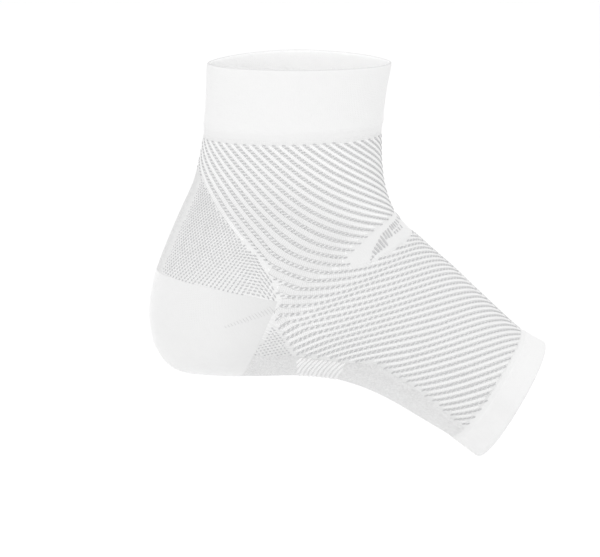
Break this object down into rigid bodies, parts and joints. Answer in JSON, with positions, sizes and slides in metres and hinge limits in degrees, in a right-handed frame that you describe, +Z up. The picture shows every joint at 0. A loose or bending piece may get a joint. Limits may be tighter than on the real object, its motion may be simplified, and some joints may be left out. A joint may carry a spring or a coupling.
{
  "type": "arch support sleeve",
  "caption": "Open-toed knitted compression sleeve for the arch and heel, with a plain cuff, a turned heel pocket, mesh and grey sole zones, and slanting ribs over the instep.",
  "frame": {"origin": "the ankle centre, where the leg's axis meets the foot's axis, inside the sleeve", "axes": "+X towards the toes, +Y across the foot to its left, +Z up the leg to the cuff's rim"},
  "size_m": [0.1945, 0.0904, 0.1961],
  "materials": {
    "knit_white": "fine plain knit",
    "knit_striped": "raised ribs with grey float stitches",
    "knit_mesh": "open mesh knit",
    "knit_grey": "plain grey knit",
    "knit_heel": "smooth turned heel knit",
    "yarn_grey": "grey float yarn"
  },
  "bodies": {
    "root": {"cuff": "knit_white", "ankle_wrap": "knit_striped", "foot_wrap": "knit_striped", "flex_patch": "knit_white", "heel_mesh": "knit_mesh", "heel_pocket": "knit_heel", "heel_gusset_left": "knit_mesh", "heel_gusset_right": "knit_mesh", "heel_band": "knit_grey", "arch_rib": "knit_mesh", "forefoot_pad": "knit_grey", "toe_band": "knit_white"}
  },
  "joints": []
}
